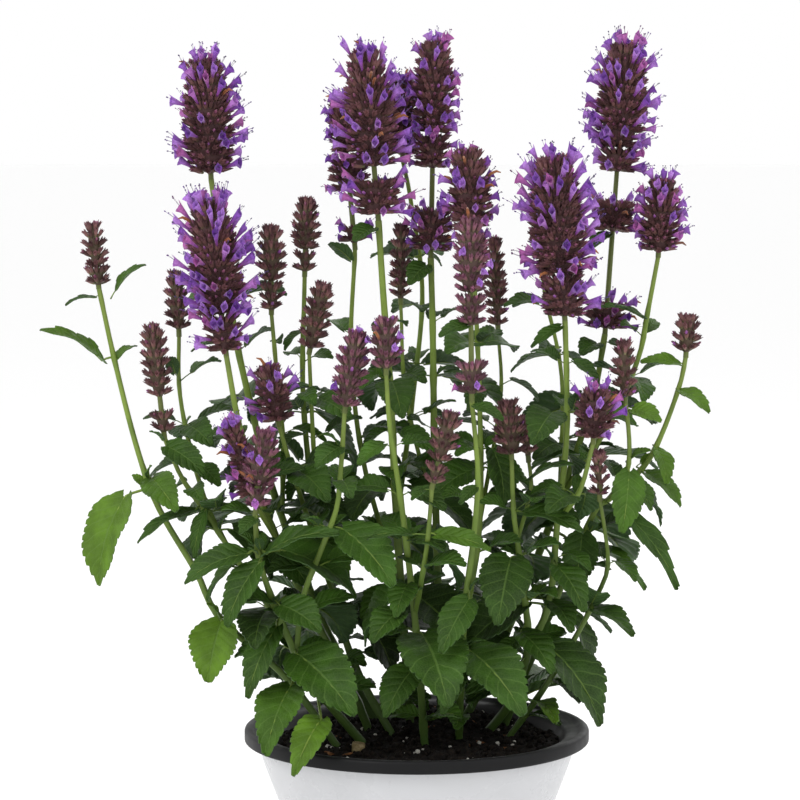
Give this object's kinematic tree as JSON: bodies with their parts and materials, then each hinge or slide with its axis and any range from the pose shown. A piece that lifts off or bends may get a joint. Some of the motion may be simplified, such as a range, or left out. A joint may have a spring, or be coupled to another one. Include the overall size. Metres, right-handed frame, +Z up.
{
  "type": "potted giant hyssop plant",
  "caption": "Potted giant hyssop: leafy square stems with whorled violet flower heads, standing in soil in a dark liner pot whose lip hangs on a white bowl-shaped outer pot.",
  "frame": {"origin": "centre of the outer pot's flat base", "axes": "+Z up, +X to the right and -Y towards the viewer of the plant's front"},
  "size_m": [0.3281, 0.1875, 0.4341],
  "materials": {
    "outer_pot": "smooth white, soft gloss",
    "liner_pot": "dark satin",
    "soil": "moist dark peat with white perlite",
    "cut_stub": "dry cut stem",
    "leafy_stems": "soft green leaf with sunken veins",
    "flower_heads": "violet corollas on maroon calyces",
    "flower_buds": "closed lilac-brown bud spikes"
  },
  "bodies": {
    "root": {"cut_stub": "cut_stub", "head_centre_bud": "flower_buds", "head_centre_front": "flower_buds", "head_centre_low": "flower_buds", "head_centre_right_tall": "flower_heads", "head_centre_tall": "flower_heads", "head_centre_tall_back": "flower_heads", "head_centre_tall_side": "flower_heads", "head_far_left": "flower_buds", "head_far_right": "flower_buds", "head_far_right_low": "flower_buds", "head_front_bud": "flower_buds", "head_front_bud_back": "flower_heads", "head_front_bud_side": "flower_buds", "head_left_back": "flower_buds", "head_left_inner": "flower_buds", "head_left_low": "flower_buds", "head_left_low_side": "flower_heads", "head_left_outer": "flower_buds", "head_left_tall": "flower_heads", "head_left_tall_side": "flower_buds", "head_left_tallest": "flower_heads", "head_mid_left": "flower_buds", "head_mid_left_low": "flower_heads", "head_mid_left_side": "flower_buds", "head_right_front": "flower_buds", "head_right_front_side": "flower_buds", "head_right_mid_low": "flower_heads", "head_right_mid_tall": "flower_heads", "head_right_small": "flower_buds", "head_right_tall": "flower_heads", "head_right_tall_side": "flower_heads", "head_right_thin": "flower_buds", "liner_pot": "liner_pot", "outer_pot": "outer_pot", "soil": "soil", "stems_centre_front": "leafy_stems", "stems_centre_right_tall": "leafy_stems", "stems_centre_tall": "leafy_stems", "stems_far_left": "leafy_stems", "stems_far_right": "leafy_stems", "stems_front_bud": "leafy_stems", "stems_left_low": "leafy_stems", "stems_left_tall": "leafy_stems", "stems_left_tallest": "leafy_stems", "stems_mid_left": "leafy_stems", "stems_right_front": "leafy_stems", "stems_right_small": "leafy_stems", "stems_right_tall": "leafy_stems"}
  },
  "joints": []
}
